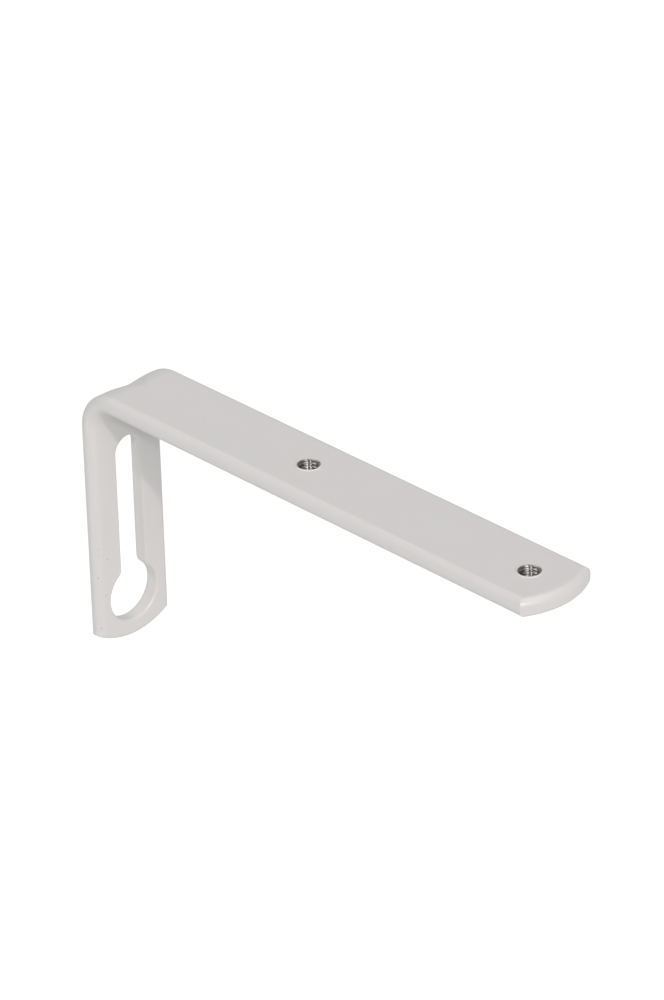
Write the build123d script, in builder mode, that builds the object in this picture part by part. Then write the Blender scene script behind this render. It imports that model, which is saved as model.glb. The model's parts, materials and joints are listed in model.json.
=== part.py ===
from build123d import *
from math import sqrt
import os

# Wall angle bracket: one flat bar, bent once to a right angle.
# The wall is the plane X = 0 and the object is on its +X side. The arm runs
# along +X, and Y lies across the bar. The origin is on the wall face and the
# bar's centre line, level with the centre of the keyhole slot's upper end.

# The bar, in millimetres. Its long edges are rolled round.
bar_width = 25.0
bar_thickness = 5.0
bar_edge_radius = 2.15

# The two limbs, measured along the outside, with their sheared, bowed ends.
arm_length = 167.1
arm_end_bow = 3.7
arm_end_top_radius = 2.0
arm_end_underside_radius = 1.2
leg_length = 79.2
leg_end_bow = 3.8
leg_end_front_radius = 1.8
leg_end_back_radius = 0.7

# The bar is drawn this much too long at each end before it is sheared.
shear_allowance = 2.0

# The bend, and the shallow hollow pressed into the outside of it.
bend_inner_radius = 7.0
hollow_depth = 0.62
hollow_width = 17.4
hollow_floor_width = 5.0
hollow_offset = 0.45

# The keyhole in the leg. The ring stands this far above the leg's lower end.
slot_width = 8.6
slot_drop = 22.45
slot_offset = 0.15
ring_diameter = 16.4
ring_end_web = 5.15
ring_offset = -0.2
neck_radius = 2.1
keyhole_front_radius = 0.7
keyhole_back_radius = 1.75
web_room_share = 0.95

# The two threaded holes: one measured from the wall, one from the arm's tip.
thread_diameter = 6.0
rim_radius = 0.3
first_hole_place = 75.75
second_hole_inset = 12.5

# Places that follow from the sizes.
half_width = bar_width / 2
bend_outer_radius = bend_inner_radius + bar_thickness
arm_top = slot_drop
arm_underside = arm_top - bar_thickness
leg_bottom = arm_top - leg_length
blank_tip = arm_length + shear_allowance
blank_bottom = leg_bottom - shear_allowance
second_hole_place = arm_length - second_hole_inset
ring_radius = ring_diameter / 2
ring_height = leg_bottom + ring_end_web + ring_radius

# The bows' radii, from their chord and their height.
arm_bow_radius = (half_width**2 + arm_end_bow**2) / (2 * arm_end_bow)
leg_bow_radius = (half_width**2 + leg_end_bow**2) / (2 * leg_end_bow)
arm_bow_centre = arm_length - arm_bow_radius
leg_bow_centre = leg_bottom + leg_bow_radius

# A circle of this radius touches both limbs and clears the bend's crest by the depth.
hollow_radius = bend_outer_radius + hollow_depth / (sqrt(2) - 1)
hollow_floor_share = hollow_floor_width / hollow_width

# The keyhole's roundings stop short of the bar's rolled edge beside the ring.
ring_web = half_width - ring_radius - abs(ring_offset)
web_room = web_room_share * (ring_web - bar_edge_radius)

os.makedirs("parts", exist_ok=True)



def scrap_section(bow_plane, bow, bow_radius, low_face, low_radius, high_face, high_radius):
    """The scrap beyond a bowed end: x from the bow's axis, y through the bar's thickness."""
    scrap_reach = bow_radius + bow + shear_allowance
    with BuildSketch(bow_plane) as section:
        with BuildLine():
            high_arc = JernArc((bow_radius - high_radius, high_face), (1, 0), high_radius, -90)
            low_arc = JernArc((bow_radius, low_face + low_radius), (0, -1), low_radius, -90)
            Line(high_arc @ 1, low_arc @ 0)
            Polyline(
                low_arc @ 1,
                (bow_radius - low_radius, low_face - bar_thickness),
                (scrap_reach, low_face - bar_thickness),
                (scrap_reach, high_face + bar_thickness),
                (bow_radius - high_radius, high_face + bar_thickness),
                high_arc @ 0,
            )
        make_face()
    return section.sketch


with BuildPart() as bracket:
    # The bent blank with square ends: its side view, pulled out to its width.
    with BuildSketch(Plane.XZ):
        with BuildLine():
            outer_line = FilletPolyline(
                (0, blank_bottom), (0, arm_top), (blank_tip, arm_top), radius=bend_outer_radius
            )
            inner_line = FilletPolyline(
                (bar_thickness, blank_bottom),
                (bar_thickness, arm_underside),
                (blank_tip, arm_underside),
                radius=bend_inner_radius,
            )
            Line(outer_line @ 0, inner_line @ 0)
            Line(outer_line @ 1, inner_line @ 1)
        make_face()
    extrude(amount=half_width, both=True)

    # The four long edges run round the bend and are rounded along their length.
    sides = bracket.faces().filter_by(Axis.Y)
    end_faces = bracket.faces().sort_by(Axis.X)[-1:] + bracket.faces().sort_by(Axis.Z)[:1]
    long_edges = sides.edges() - end_faces.edges()
    fillet(long_edges, bar_edge_radius)

    # Each end is sheared: its scrap, with two rounded edges, turns about the bow's axis.
    arm_scrap = scrap_section(
        Plane((arm_bow_centre, 0, 0), x_dir=(0, -1, 0), z_dir=(-1, 0, 0)),
        arm_end_bow,
        arm_bow_radius,
        arm_underside,
        arm_end_underside_radius,
        arm_top,
        arm_end_top_radius,
    )
    arm_bow_axis = Axis((arm_bow_centre, 0, 0), (0, 0, 1))
    revolve(arm_scrap, axis=arm_bow_axis, revolution_arc=180, mode=Mode.SUBTRACT)
    leg_scrap = scrap_section(
        Plane((0, 0, leg_bow_centre), x_dir=(0, -1, 0), z_dir=(0, 0, 1)),
        leg_end_bow,
        leg_bow_radius,
        0,
        leg_end_back_radius,
        bar_thickness,
        leg_end_front_radius,
    )
    leg_bow_axis = Axis((0, 0, leg_bow_centre), (1, 0, 0))
    revolve(leg_scrap, axis=leg_bow_axis, revolution_arc=180, mode=Mode.SUBTRACT)

    # The keyhole: a slot that hangs on the screw, and the ring its head enters by.
    with BuildSketch(Plane.YZ):
        with Locations((slot_offset, 0)):
            Circle(slot_width / 2)
            Rectangle(slot_width, -ring_height, align=(Align.CENTER, Align.MAX))
        with Locations((ring_offset, ring_height)):
            Circle(ring_radius)
        ring_top = ring_height + ring_radius
        necks = vertices().filter_by_position(Axis.Y, ring_top - ring_radius / 2, ring_top)
        fillet(necks, neck_radius)
    extrude(amount=bar_thickness, mode=Mode.SUBTRACT)
    keyhole_edges = bracket.edges(Select.LAST)
    fillet(keyhole_edges.group_by(Axis.X)[-1], min(keyhole_front_radius, web_room))
    back_edges = bracket.faces().sort_by(Axis.X)[0].inner_wires()[0].edges()
    fillet(back_edges, min(keyhole_back_radius, web_room))

    # The threaded holes, through the arm, with softened rims.
    with Locations((first_hole_place, 0, arm_top), (second_hole_place, 0, arm_top)):
        Hole(thread_diameter / 2)
    rims = bracket.edges(Select.LAST).filter_by(GeomType.CIRCLE)
    fillet(rims, rim_radius)

    # The hollow, cut by its cross profile turned from the leg's face to the arm's.
    with BuildSketch(Plane((0, hollow_offset, arm_top - hollow_radius))):
        with BuildLine():
            floor_end = (-hollow_depth * hollow_floor_share, hollow_floor_width / 2)
            floor = TangentArc((0, 0), floor_end, tangent=(0, 1))
            rim = TangentArc(floor @ 1, (-hollow_depth, hollow_width / 2), tangent=floor % 1)
            Polyline(rim @ 1, (-2 * hollow_depth, hollow_width / 2), (-2 * hollow_depth, 0))
            mirror(about=Plane.XZ)
        make_face()
    hollow_axis = Axis((hollow_radius, 0, arm_top - hollow_radius), (0, 1, 0))
    revolve(axis=hollow_axis, revolution_arc=90, mode=Mode.SUBTRACT)

bracket.part.label = "bracket"
export_step(bracket.part, "parts/bracket.step")
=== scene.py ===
import json
import math

import bpy
from mathutils import Matrix, Vector, noise


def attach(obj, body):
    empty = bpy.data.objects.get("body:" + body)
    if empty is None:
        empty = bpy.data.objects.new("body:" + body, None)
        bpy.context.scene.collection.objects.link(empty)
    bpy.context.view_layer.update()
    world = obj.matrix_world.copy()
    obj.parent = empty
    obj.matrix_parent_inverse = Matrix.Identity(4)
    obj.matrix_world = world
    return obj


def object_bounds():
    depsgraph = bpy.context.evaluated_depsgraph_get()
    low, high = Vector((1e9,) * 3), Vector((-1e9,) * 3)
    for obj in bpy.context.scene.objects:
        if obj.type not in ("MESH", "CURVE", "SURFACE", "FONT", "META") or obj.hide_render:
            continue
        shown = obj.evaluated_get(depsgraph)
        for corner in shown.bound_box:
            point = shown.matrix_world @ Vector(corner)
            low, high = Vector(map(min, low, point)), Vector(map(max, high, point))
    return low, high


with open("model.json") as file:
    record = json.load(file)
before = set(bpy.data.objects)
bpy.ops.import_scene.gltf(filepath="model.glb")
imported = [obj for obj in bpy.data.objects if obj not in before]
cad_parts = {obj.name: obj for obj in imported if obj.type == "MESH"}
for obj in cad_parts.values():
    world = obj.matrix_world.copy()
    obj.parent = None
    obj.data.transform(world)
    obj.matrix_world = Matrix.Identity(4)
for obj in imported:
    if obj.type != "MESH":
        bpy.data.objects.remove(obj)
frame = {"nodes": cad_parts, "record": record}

CAD_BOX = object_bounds()
MM = 0.001
WHITE = (1.0, 1.0, 1.0)

# The camera, fitted to the photograph: angles in degrees, lengths in millimetres,
# the focal length in pixels of the picture.
CAMERA_AZIMUTH = 46.984
CAMERA_ELEVATION = 29.031
CAMERA_ROLL = -1.59
CAMERA_DISTANCE = 1327.28
CAMERA_TARGET = (84.154, -0.047, 15.367)
CAMERA_FOCAL = 5197.38
CAMERA_NEAR = 50.0
CAMERA_FAR = 30000.0
PICTURE_HEIGHT = 1000
SENSOR = 36.0

# The lamps: the direction that each shines from, its strength, its width in degrees
# and its colour. The wall is at -X and the camera stands at the +X, -Y corner.
LAMPS = {
    "key": ((2.4, -1.0, 1.67), 0.51, 1.5, (1.01, 0.965, 1.02)),
    "front": ((1.0, -0.3, 0.5), 0.82, 30.0, WHITE),
    "fill": ((0.58, -1.0, 0.95), 0.72, 4.0, WHITE),
    "overhead_near": ((-0.3, -0.5, 0.8), 0.66, 30.0, WHITE),
    "overhead_far": ((0.3, 0.3, 1.0), 0.48, 30.0, WHITE),
    "overhead_back": ((-0.5, 0.3, 0.8), 0.24, 30.0, WHITE),
    "back_low": ((-0.6, -1.0, -0.5), 0.26, 30.0, WHITE),
}

# The studio round the object: its mean strength, and how it grows along X, Y and Z.
STUDIO_STRENGTH = 0.503
STUDIO_SLOPE = (0.0, 0.089, -0.414)

# The floor lies well below the object, which hangs on a wall. Lengths are in
# millimetres, and the lift is the strength of its own faint glow.
FLOOR_DROP = 700.0
FLOOR_HALF = 6000.0
FLOOR_COLOR = (0.82, 0.82, 0.815, 1.0)
FLOOR_LIFT = 0.3

# The noises in the materials: the size of each one's features in millimetres, and its detail.
MOTTLE = (9.0, 3.0)
WAVE = (14.0, 1.0)
PEEL = (1.5, 2.0)
STAIN = (0.9, 4.0)

# The paint: its lightest and deepest colour, its smoothest and roughest gloss, and how
# high its slow waves and its orange peel stand, in millimetres.
COAT_COLOR = (0.684, 0.667, 0.650, 1.0)
COAT_COLOR_DEEP = (0.671, 0.655, 0.639, 1.0)
COAT_ROUGHNESS = (0.28, 0.31)
WAVE_HEIGHT = 0.03
PEEL_HEIGHT = 0.006

# Specks in the paint: the place of each in millimetres, and its radius. A speck is full
# up to one share of its radius and has faded out at the other.
SPECKS = [
    ((38.1, -2.0, 22.5), 0.22),
    ((99.6, -1.1, 22.5), 0.15),
    ((5.0, -9.1, -29.6), 0.26),
    ((4.5, -11.7, -25.7), 0.20),
    ((4.5, -11.8, -27.8), 0.18),
    ((4.2, -12.0, -34.6), 0.27),
    ((5.0, -10.2, -40.4), 0.24),
    ((4.3, -11.9, -50.2), 0.25),
]
SPECK_COLOR = (0.50, 0.485, 0.465, 1.0)
SPECK_FULL = 0.5
SPECK_FADED = 1.3

# The bare steel in the holes: its lightest and deepest colour, its smoothest and roughest
# gloss, how strongly its tool marks stretch a highlight, and which way, as a share of a turn.
STEEL_COLOR = (0.68, 0.67, 0.65, 1.0)
STEEL_COLOR_DEEP = (0.24, 0.23, 0.21, 1.0)
STEEL_ROUGHNESS = (0.28, 0.36)
STEEL_STRETCH = 0.95
STEEL_STRETCH_TURN = 0.25

# The threads and the lips are turned in this many steps.
TURN_STEPS = 96

# The cut threads, in millimetres, rounded at crest and root. The sleeve that carries one
# reaches past the bar's faces. Its ridges begin below a plain rim and rise over the lead.
# The start is a share of a turn.
THREAD_PITCH = 1.0
THREAD_DEPTH = 0.541
THREAD_CLEARANCE = 0.01
THREAD_BACKING = 0.15
THREAD_REACH = 0.12
THREAD_RIM = 0.03
THREAD_LEAD = 0.12
THREAD_START = 0.33
THREAD_STEPS_PER_PITCH = 16

# The paint's raised lip round each hole, in millimetres. Its inner side, crest and outer
# side are measured from the bore. Its height is uneven by a share of itself, and the
# wander is how quickly that changes round the ring.
LIP_INNER = 0.03
LIP_CREST = 0.20
LIP_OUTER = 0.65
LIP_HEIGHT = 0.22
LIP_DEPTH = 0.45
LIP_STEPS = 8
LIP_UNEVENNESS = 0.3
LIP_WANDER = 1.3


def add_object(name, data):
    made = bpy.data.objects.new(name, data)
    bpy.context.scene.collection.objects.link(made)
    return made


def set_camera():
    """A camera that looks at its target from the photograph's side."""
    azimuth, elevation, roll = (
        math.radians(value) for value in (CAMERA_AZIMUTH, CAMERA_ELEVATION, CAMERA_ROLL)
    )
    back = Vector((
        math.sin(azimuth) * math.cos(elevation),
        -math.cos(azimuth) * math.cos(elevation),
        math.sin(elevation),
    ))
    level = Vector((math.cos(azimuth), math.sin(azimuth), 0.0))
    upright = back.cross(level)
    right = level * math.cos(roll) + upright * math.sin(roll)
    up = upright * math.cos(roll) - level * math.sin(roll)
    camera = add_object("camera", bpy.data.cameras.new("camera"))
    camera.data.sensor_width = SENSOR
    camera.data.lens = CAMERA_FOCAL * SENSOR / PICTURE_HEIGHT
    camera.data.clip_start = CAMERA_NEAR * MM
    camera.data.clip_end = CAMERA_FAR * MM
    place = Vector(CAMERA_TARGET) * MM + back * CAMERA_DISTANCE * MM
    turn = Matrix((right, up, back)).transposed().to_4x4()
    camera.matrix_world = Matrix.Translation(place) @ turn
    bpy.context.scene.camera = camera


def add_lamp(name, shines_from, strength, width, color):
    lamp = bpy.data.lights.new(name, "SUN")
    lamp.energy = strength
    lamp.angle = math.radians(width)
    lamp.color = color
    lamp_object = add_object(name, lamp)
    lamp_object.rotation_euler = Vector(shines_from).to_track_quat("Z", "Y").to_euler()


def set_studio():
    """The light from all round, and plain white where the camera looks past the object."""
    world = bpy.data.worlds.new("studio")
    bpy.context.scene.world = world
    world.use_nodes = True
    nodes, links = world.node_tree.nodes, world.node_tree.links
    nodes.clear()
    direction = nodes.new("ShaderNodeTexCoord").outputs["Generated"]

    slope = nodes.new("ShaderNodeVectorMath")
    slope.operation = "DOT_PRODUCT"
    slope.inputs[1].default_value = STUDIO_SLOPE
    links.new(direction, slope.inputs[0])
    strength = nodes.new("ShaderNodeMath")
    strength.operation = "ADD"
    strength.inputs[1].default_value = STUDIO_STRENGTH
    links.new(slope.outputs["Value"], strength.inputs[0])

    light = nodes.new("ShaderNodeBackground")
    light.inputs["Color"].default_value = (*WHITE, 1.0)
    links.new(strength.outputs["Value"], light.inputs["Strength"])
    seen = nodes.new("ShaderNodeBackground")
    seen.inputs["Color"].default_value = (*WHITE, 1.0)
    seen.inputs["Strength"].default_value = 1.0
    path = nodes.new("ShaderNodeLightPath")
    mix = nodes.new("ShaderNodeMixShader")
    links.new(path.outputs["Is Camera Ray"], mix.inputs["Fac"])
    links.new(light.outputs["Background"], mix.inputs[1])
    links.new(seen.outputs["Background"], mix.inputs[2])
    output = nodes.new("ShaderNodeOutputWorld")
    links.new(mix.outputs["Shader"], output.inputs["Surface"])


def new_material(name):
    material = bpy.data.materials.new(name)
    material.use_nodes = True
    return material, material.node_tree.nodes, material.node_tree.links


def floor_material():
    """Pale floor that reads white in the open, keeps a shadow, and is clear from below."""
    material, nodes, links = new_material("floor_pale")
    nodes.clear()
    matte = nodes.new("ShaderNodeBsdfDiffuse")
    matte.inputs["Color"].default_value = FLOOR_COLOR
    glow = nodes.new("ShaderNodeEmission")
    glow.inputs["Strength"].default_value = FLOOR_LIFT
    lit = nodes.new("ShaderNodeAddShader")
    links.new(matte.outputs["BSDF"], lit.inputs[0])
    links.new(glow.outputs["Emission"], lit.inputs[1])
    side = nodes.new("ShaderNodeNewGeometry")
    clear = nodes.new("ShaderNodeBsdfTransparent")
    mix = nodes.new("ShaderNodeMixShader")
    links.new(side.outputs["Backfacing"], mix.inputs["Fac"])
    links.new(lit.outputs["Shader"], mix.inputs[1])
    links.new(clear.outputs["BSDF"], mix.inputs[2])
    output = nodes.new("ShaderNodeOutputMaterial")
    links.new(mix.outputs["Shader"], output.inputs["Surface"])
    return material


def add_floor():
    """The floor, which only the camera sees, so the studio lights the object from below too."""
    half = FLOOR_HALF * MM
    height = CAD_BOX[0][2] - FLOOR_DROP * MM
    corners = [
        (-half, -half, height),
        (half, -half, height),
        (half, half, height),
        (-half, half, height),
    ]
    mesh = bpy.data.meshes.new("floor")
    mesh.from_pydata(corners, [], [(0, 1, 2, 3)])
    mesh.materials.append(floor_material())
    floor = add_object("floor", mesh)
    floor.visible_diffuse = False
    floor.visible_glossy = False
    floor.visible_transmission = False
    floor.visible_shadow = False


def noise_node(nodes, links, place, size_and_detail):
    size, detail = size_and_detail
    texture = nodes.new("ShaderNodeTexNoise")
    texture.inputs["Scale"].default_value = 1.0 / (size * MM)
    texture.inputs["Detail"].default_value = detail
    links.new(place, texture.inputs["Vector"])
    return texture


def color_node(nodes, links, share, first, second):
    """A colour that goes from the first to the second. A link may take the place of either."""
    mix = nodes.new("ShaderNodeMix")
    mix.data_type = "RGBA"
    mix.inputs["A"].default_value = first
    mix.inputs["B"].default_value = second
    links.new(share, mix.inputs["Factor"])
    return mix


def gloss_node(nodes, links, share, smoothest_and_roughest):
    gloss = nodes.new("ShaderNodeMapRange")
    gloss.inputs["To Min"].default_value = smoothest_and_roughest[0]
    gloss.inputs["To Max"].default_value = smoothest_and_roughest[1]
    links.new(share, gloss.inputs["Value"])
    return gloss


def bump_node(nodes, links, height, distance):
    bump = nodes.new("ShaderNodeBump")
    bump.inputs["Distance"].default_value = distance * MM
    links.new(height, bump.inputs["Height"])
    return bump


def speck_mask(nodes, links, place):
    """One where a speck lies in the paint, and nothing elsewhere."""
    total = None
    for centre, radius in SPECKS:
        reach = nodes.new("ShaderNodeVectorMath")
        reach.operation = "DISTANCE"
        reach.inputs[1].default_value = Vector(centre) * MM
        links.new(place, reach.inputs[0])
        spot = nodes.new("ShaderNodeMapRange")
        spot.inputs["From Min"].default_value = SPECK_FADED * radius * MM
        spot.inputs["From Max"].default_value = SPECK_FULL * radius * MM
        links.new(reach.outputs["Value"], spot.inputs["Value"])
        if total is None:
            total = spot.outputs["Result"]
            continue
        join = nodes.new("ShaderNodeMath")
        join.operation = "MAXIMUM"
        links.new(total, join.inputs[0])
        links.new(spot.outputs["Result"], join.inputs[1])
        total = join.outputs["Value"]
    return total


def powder_coat():
    """White powder coat: slight mottling, slow waves, a fine orange peel, and a few specks."""
    material, nodes, links = new_material("powder_coat_white")
    shader = nodes["Principled BSDF"]
    place = nodes.new("ShaderNodeTexCoord").outputs["Object"]

    mottle = noise_node(nodes, links, place, MOTTLE).outputs["Fac"]
    paint = color_node(nodes, links, mottle, COAT_COLOR_DEEP, COAT_COLOR)
    specked = color_node(nodes, links, speck_mask(nodes, links, place), COAT_COLOR, SPECK_COLOR)
    links.new(paint.outputs["Result"], specked.inputs["A"])
    links.new(specked.outputs["Result"], shader.inputs["Base Color"])
    gloss = gloss_node(nodes, links, mottle, COAT_ROUGHNESS)
    links.new(gloss.outputs["Result"], shader.inputs["Roughness"])

    waves = noise_node(nodes, links, place, WAVE).outputs["Fac"]
    waved = bump_node(nodes, links, waves, WAVE_HEIGHT)
    grains = noise_node(nodes, links, place, PEEL).outputs["Fac"]
    peel = bump_node(nodes, links, grains, PEEL_HEIGHT)
    links.new(waved.outputs["Normal"], peel.inputs["Normal"])
    links.new(peel.outputs["Normal"], shader.inputs["Normal"])
    return material


def bare_steel():
    """Cut steel: unevenly dark, with round tool marks that stretch highlights along the bore."""
    material, nodes, links = new_material("steel_thread")
    shader = nodes["Principled BSDF"]
    place = nodes.new("ShaderNodeTexCoord").outputs["Object"]

    stain = noise_node(nodes, links, place, STAIN).outputs["Fac"]
    color = color_node(nodes, links, stain, STEEL_COLOR_DEEP, STEEL_COLOR)
    links.new(color.outputs["Result"], shader.inputs["Base Color"])
    gloss = gloss_node(nodes, links, stain, STEEL_ROUGHNESS)
    links.new(gloss.outputs["Result"], shader.inputs["Roughness"])
    shader.inputs["Metallic"].default_value = 1.0

    around = nodes.new("ShaderNodeTangent")
    around.direction_type = "RADIAL"
    around.axis = "Z"
    links.new(around.outputs["Tangent"], shader.inputs["Tangent"])
    shader.inputs["Anisotropic"].default_value = STEEL_STRETCH
    shader.inputs["Anisotropic Rotation"].default_value = STEEL_STRETCH_TURN
    return material


def turned_piece(name, profile, centre, material):
    """A closed ring: profile(turn) gives its section as (radius, height) pairs in millimetres."""
    points = []
    for step in range(TURN_STEPS):
        turn = step / TURN_STEPS
        angle = 2 * math.pi * turn
        for radius, height in profile(turn):
            points.append((
                centre[0] + radius * math.cos(angle) * MM,
                centre[1] + radius * math.sin(angle) * MM,
                height * MM,
            ))
    rows = len(points) // TURN_STEPS
    faces = []
    for step in range(TURN_STEPS):
        here = step * rows
        after = (step + 1) % TURN_STEPS * rows
        for row in range(rows):
            beside = (row + 1) % rows
            faces.append((here + row, here + beside, after + beside, after + row))
    mesh = bpy.data.meshes.new(name)
    mesh.from_pydata(points, [], faces)
    mesh.polygons.foreach_set("use_smooth", [True] * len(faces))
    mesh.materials.append(material)
    piece = add_object(name, mesh)
    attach(piece, "root")


def add_thread(mount, low, high, material):
    """The bare thread in one hole: a steel sleeve whose inner wall carries the helix."""
    major = mount["dims"]["r_mm"] - THREAD_CLEARANCE
    backing = major + THREAD_CLEARANCE + THREAD_BACKING
    bottom, top = low - THREAD_REACH, high + THREAD_REACH
    count = round((top - bottom) / THREAD_PITCH * THREAD_STEPS_PER_PITCH)
    heights = [bottom + (top - bottom) * index / count for index in range(count + 1)]

    def profile(turn):
        section = []
        for height in heights:
            phase = 2 * math.pi * (height / THREAD_PITCH - turn + THREAD_START)
            ridge = THREAD_DEPTH * (0.5 - 0.5 * math.cos(phase))
            past_rim = max(0.0, min(height - bottom, top - height) - THREAD_RIM)
            ridge = min(ridge, past_rim * THREAD_DEPTH / THREAD_LEAD)
            section.append((major - ridge, height))
        return section + [(backing, top), (backing, bottom)]

    turned_piece(f"{mount['name']}_wall", profile, mount["pos_m"], material)


def add_lip(mount, face, outward, material):
    """The paint that has gathered round a hole's mouth. outward is 1 above and -1 below."""
    bore = mount["dims"]["r_mm"]
    inner, crest, outer = bore + LIP_INNER, bore + LIP_CREST, bore + LIP_OUTER

    def profile(turn):
        # The hole's place and the side make each lip wander in its own way.
        angle = 2 * math.pi * turn
        spot = Vector((math.cos(angle), math.sin(angle), mount["pos_m"][0] / MM + outward))
        swell = LIP_HEIGHT * (1.0 + LIP_UNEVENNESS * noise.noise(spot * LIP_WANDER))
        section = [(crest, -LIP_DEPTH), (inner, -LIP_DEPTH)]
        for step in range(LIP_STEPS + 1):
            rise = math.pi / 2 * step / LIP_STEPS
            radius = crest - (crest - inner) * math.cos(rise)
            section.append((radius, swell - LIP_CREST * (1.0 - math.sin(rise))))
        for step in range(1, LIP_STEPS + 1):
            share = step / LIP_STEPS
            radius = crest + (outer - crest) * share
            section.append((radius, swell * (0.5 + 0.5 * math.cos(math.pi * share))))
        section.append((outer, -LIP_CREST))
        ring = [(radius, face + outward * height) for radius, height in section]
        return ring if outward > 0 else ring[::-1]

    side = "top" if outward > 0 else "under"
    turned_piece(f"{mount['name']}_lip_{side}", profile, mount["pos_m"], material)


set_camera()
set_studio()
add_floor()
for lamp_name, (shines_from, strength, width, color) in LAMPS.items():
    add_lamp(lamp_name, shines_from, strength, width, color)
bpy.context.scene.view_settings.view_transform = "Standard"

coat = powder_coat()
steel = bare_steel()
for slot in frame["nodes"]["bracket"].material_slots:
    slot.material = coat

mounts = {mount["name"]: mount for mount in frame["record"]["mounts"]}
arm_top = mounts["arm_top"]["pos_m"][2] / MM
arm_underside = mounts["arm_underside"]["pos_m"][2] / MM
for hole in (mounts["near_thread"], mounts["far_thread"]):
    add_thread(hole, arm_underside, arm_top, steel)
    add_lip(hole, arm_top, 1, coat)
    add_lip(hole, arm_underside, -1, coat)
